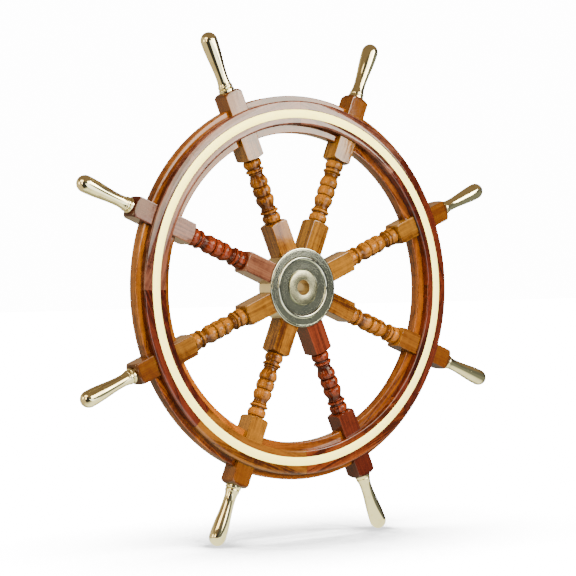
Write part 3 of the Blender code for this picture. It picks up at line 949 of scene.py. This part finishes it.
bush = revolve(
    "bush",
    rounded(
        [
            (FLANGE_RADIUS, FLANGE_FACE, 0.0008),
            (FLANGE_RADIUS, FLANGE_FACE - FLANGE_THICK, 0.0002),
            (SLEEVE_RADIUS, FLANGE_FACE - FLANGE_THICK, 0.0002),
            (SLEEVE_RADIUS, -SLEEVE_END, 0.0005),
            (BORE_RADIUS, -SLEEVE_END, 0.0006),
            (BORE_RADIUS, FLANGE_FACE, 0.0007),
        ]
    ),
    96,
)
bush_mat = turned_brass("bush", 6, rough=0.17, ring_scale=1100.0, bore=BORE_BRASS)
piece("bush", bush, WHEEL_FRAME, "bush", ["centre_bush"], bush_mat)

collar_bore = SLEEVE_RADIUS + 0.00036
collar_end = -SLEEVE_END + 0.0003
collar = revolve(
    "collar",
    rounded(
        [
            (COLLAR_RADIUS, -PLATE_FACE - GAP, 0.0003),
            (COLLAR_RADIUS, collar_end, 0.0009),
            (collar_bore, collar_end, 0.0002),
            (collar_bore, -PLATE_FACE - GAP, 0.0),
        ]
    ),
    96,
)
collar_mat = turned_brass("collar", 7, rough=0.20)
piece("collar", collar, WHEEL_FRAME, "bush", ["bush_collar"], collar_mat)

bolt_shape = bolt_mesh()
for index in range(BOLTS):
    angle = index * math.pi / 2.0
    place = Matrix.Translation((BOLT_CIRCLE * math.cos(angle), BOLT_CIRCLE * math.sin(angle), 0.0))
    twist = Matrix.Rotation(0.35 + 0.9 * index, 4, "Z")
    node = f"hub_bolt_{index + 1}"
    piece(
        f"bolt_{index + 1}",
        bolt_shape.copy(),
        WHEEL_FRAME @ place @ twist,
        "wheel",
        [node],
        steel(f"{node}_steel", index + 1, WHEEL_FRAME),
    )

stud_mat = steel("stud_steel", 9, Matrix())
for number in range(1, SPOKES + 1):
    node = frame["nodes"][f"handle_stud_{number}"]
    node.data.materials.clear()
    node.data.materials.append(stud_mat)

# ---------------------------------------------------------------- floor, light and camera
FLOOR = CAD_BOX[0][2]
FLOOR_HALF = 30.0
SHOWN_WHITE = 18.0  # strength of the white that the camera sees
NEAR_FLOOR = (0.60, 0.85)  # distance from the hub over which the near floor ends
UNDER_WHEEL = (0.02, 0.15)  # depth behind the wheel over which the floor grows darker, a painted shadow of the wheel in what the object sees
FRONT_FLOOR = (2.0, 1.85, 1.30)
BACK_FLOOR = (0.50, 0.46, 0.30)
# colours that the far floor and the walls send to the object, by bearing in degrees
FLOOR_CREAM, FLOOR_GLOOM, FLOOR_WHITE, FLOOR_PALE = (
    (0.9, 0.70, 0.42),
    (0.05, 0.045, 0.04),
    (3.6, 3.5, 3.2),
    (0.26, 0.26, 0.22),
)
FLOOR_BEARINGS = (
    (-180, FLOOR_CREAM),
    (-80, FLOOR_CREAM),
    (-74, FLOOR_GLOOM),
    (-28, FLOOR_GLOOM),
    (-22, FLOOR_WHITE),
    (16, FLOOR_WHITE),
    (22, FLOOR_PALE),
    (138, FLOOR_PALE),
    (148, FLOOR_CREAM),
    (180, FLOOR_CREAM),
)
WALL_CREAM, WALL_GLOOM, WALL_PALE = (0.85, 0.66, 0.38), (0.07, 0.06, 0.05), (0.17, 0.17, 0.15)
WALL_BEARINGS = (
    (-180, WALL_CREAM),
    (-80, WALL_CREAM),
    (-72, WALL_GLOOM),
    (-28, WALL_GLOOM),
    (-22, WALL_PALE),
    (64, WALL_PALE),
    (68, WALL_GLOOM),
    (138, WALL_GLOOM),
    (148, WALL_CREAM),
    (180, WALL_CREAM),
)
CEILING = (0.30, 0.20, 0.115)
# how much of the wall shows, from straight down to straight up
WALL_SHARE = (
    (0.0, (0.25, 0.25, 0.25)),
    (0.46, (0.25, 0.25, 0.25)),
    (0.50, (1, 1, 1)),
    (0.68, (1, 1, 1)),
    (0.76, (0, 0, 0)),
)
NEUTRAL = (1.0, 0.93, 0.82)
WARM = (1.0, 0.76, 0.42)
# name, azimuth, lowest and highest elevation, spread, distance, radiance, tint
SOFTBOXES = (
    ("right_front", 36.0, 4.7, 33.0, 7.2, 2.6, 19.0, (1.0, 0.91, 0.75)),
    ("right_front_middle", 29.9, 4.7, 33.0, 5.0, 2.6, 14.5, (1.0, 0.88, 0.69)),
    ("right_front_left", 10.7, 4.7, 33.0, 33.4, 2.6, 9.5, (1.0, 0.84, 0.60)),
    ("right_low", 15.0, 3.3, 4.7, 42.0, 2.6, 7.0, NEUTRAL),
    ("left", -69.0, -2.0, 16.0, 7.0, 2.4, 12.0, WARM),
    ("left_rear", -105.0, -2.0, 16.0, 7.0, 2.4, 10.0, WARM),
    ("left_high", -75.0, 22.0, 40.0, 30.0, 2.4, 6.0, WARM),
)
# the same, for lights that don't show as reflections
FILLS = (
    ("fill", -22.0, 8.0, 60.0, 76.0, 3.0, 13.4, NEUTRAL),
    ("rear_fill", 180.0, 8.0, 50.0, 50.0, 3.0, 8.0, NEUTRAL),
)
LENS = 121.408  # millimetres
CAMERA_AT = (-1.95986, -2.65373, 0.00467)
CAMERA_FORWARD = (0.59078372, 0.80682846, -0.00156146)
CAMERA_UP = (0.0147672, -0.00887797, 0.99985154)


def bearing_ramp(tree, vector, marks):
    """Colours by bearing in degrees from the front of the wheel, positive to its right."""
    parts = tree.split(vector)
    bearing = tree.math("ARCTAN2", parts["X"], tree.math("MULTIPLY", parts["Y"], -1.0))
    around = tree.remap(bearing, -math.pi, math.pi, smooth=False)
    return tree.ramp(around, [((degrees + 180.0) / 360.0, colour) for degrees, colour in marks])


def show(tree, seen, other, out):
    """Show one shader to the camera and another to every other ray."""
    mix = tree.add("ShaderNodeMixShader")
    path = tree.add("ShaderNodeLightPath")
    tree.link(path.outputs["Is Camera Ray"], mix.inputs[0])
    tree.link(other.outputs[0], mix.inputs[1])
    tree.link(seen.outputs[0], mix.inputs[2])
    tree.link(mix.outputs[0], out.inputs["Surface"])


def stage_floor():
    """A plain floor: the camera sees white with a soft contact shadow.

    The object gets a studio's light back from it, by distance and bearing.
    """
    mesh = bpy.data.meshes.new("floor")
    shape = bmesh.new()
    bmesh.ops.create_grid(shape, x_segments=1, y_segments=1, size=FLOOR_HALF)
    bmesh.ops.translate(shape, vec=(0.0, 0.0, FLOOR - 0.0002), verts=shape.verts)
    shape.to_mesh(mesh)
    shape.free()
    floor = bpy.data.objects.new("floor", mesh)
    bpy.context.scene.collection.objects.link(floor)
    mat = bpy.data.materials.new("floor_white")
    mat.use_nodes = True
    tree = Tree(mat.node_tree)
    tree.tree.nodes.clear()
    out = tree.add("ShaderNodeOutputMaterial")
    where = tree.add("ShaderNodeTexCoord").outputs["Object"]
    reach = tree.add("ShaderNodeVectorMath", operation="LENGTH")
    tree.link(where, reach.inputs[0])
    away = tree.remap(reach.outputs["Value"], *NEAR_FLOOR, smooth=False)
    behind = tree.remap(tree.split(where)["Y"], *UNDER_WHEEL, smooth=False)
    near = tree.mix(behind, FRONT_FLOOR, BACK_FLOOR)
    studio = tree.add("ShaderNodeEmission")
    tree.link(tree.mix(away, near, bearing_ramp(tree, where, FLOOR_BEARINGS)), studio.inputs["Color"])
    shadow = tree.add("ShaderNodeAmbientOcclusion", samples=16)
    shadow.inputs["Distance"].default_value = 0.45
    level = tree.remap(shadow.outputs["AO"], 0.80, 0.995, 1.5, SHOWN_WHITE, smooth=False)
    white = tree.add("ShaderNodeEmission")
    tree.link(level, white.inputs["Strength"])
    show(tree, white, studio, out)
    mesh.materials.append(mat)


def stage_world():
    """A plain backdrop: the camera sees white, and the object a room with walls and a ceiling."""
    world = bpy.data.worlds.new("studio")
    bpy.context.scene.world = world
    world.use_nodes = True
    tree = Tree(world.node_tree)
    tree.tree.nodes.clear()
    out = tree.add("ShaderNodeOutputWorld")
    white = tree.add("ShaderNodeBackground")
    white.inputs["Strength"].default_value = SHOWN_WHITE
    room = tree.add("ShaderNodeBackground")
    around = tree.add("ShaderNodeTexCoord").outputs["Generated"]
    walls = bearing_ramp(tree, around, WALL_BEARINGS)
    height = tree.remap(tree.split(around)["Z"], -1.0, 1.0, smooth=False)
    tree.link(tree.mix(tree.ramp(height, WALL_SHARE), CEILING, walls), room.inputs["Color"])
    show(tree, white, room, out)


def softbox(name, azimuth, low, high, spread, distance, radiance, tint):
    """A rectangle light that faces the hub.

    It stands at an azimuth from the wheel's front, positive to its right, spans the
    elevations from low to high and spread degrees across, and has one radiance.
    """
    middle = math.radians(low + high) / 2.0
    tall = 2.0 * distance * math.tan(math.radians(high - low) / 2.0)
    wide = 2.0 * distance * math.tan(math.radians(spread) / 2.0)
    a = math.radians(azimuth)
    out = Vector((math.sin(a) * math.cos(middle), -math.cos(a) * math.cos(middle), math.sin(middle)))
    data = bpy.data.lights.new(name, "AREA")
    data.shape = "RECTANGLE"
    data.size = wide
    data.size_y = tall
    data.energy = radiance * math.pi * wide * tall
    data.color = tint
    obj = bpy.data.objects.new(name, data)
    bpy.context.scene.collection.objects.link(obj)
    obj.location = out * distance
    obj.rotation_euler = (-out).to_track_quat("-Z", "Y").to_euler()
    return obj


def stage_camera():
    data = bpy.data.cameras.new("camera")
    data.sensor_width = 36.0
    data.lens = LENS
    data.clip_end = 100.0
    camera = bpy.data.objects.new("camera", data)
    bpy.context.scene.collection.objects.link(camera)
    forward = Vector(CAMERA_FORWARD).normalized()
    right = forward.cross(Vector(CAMERA_UP)).normalized()
    up = right.cross(forward)
    turn = Matrix((right, up, -forward)).transposed().to_4x4()
    camera.matrix_world = Matrix.Translation(CAMERA_AT) @ turn
    bpy.context.scene.camera = camera


stage_floor()
stage_world()
for box in SOFTBOXES:
    softbox(*box)
for box in FILLS:
    softbox(*box).visible_glossy = False
stage_camera()

bpy.context.view_layer.update()
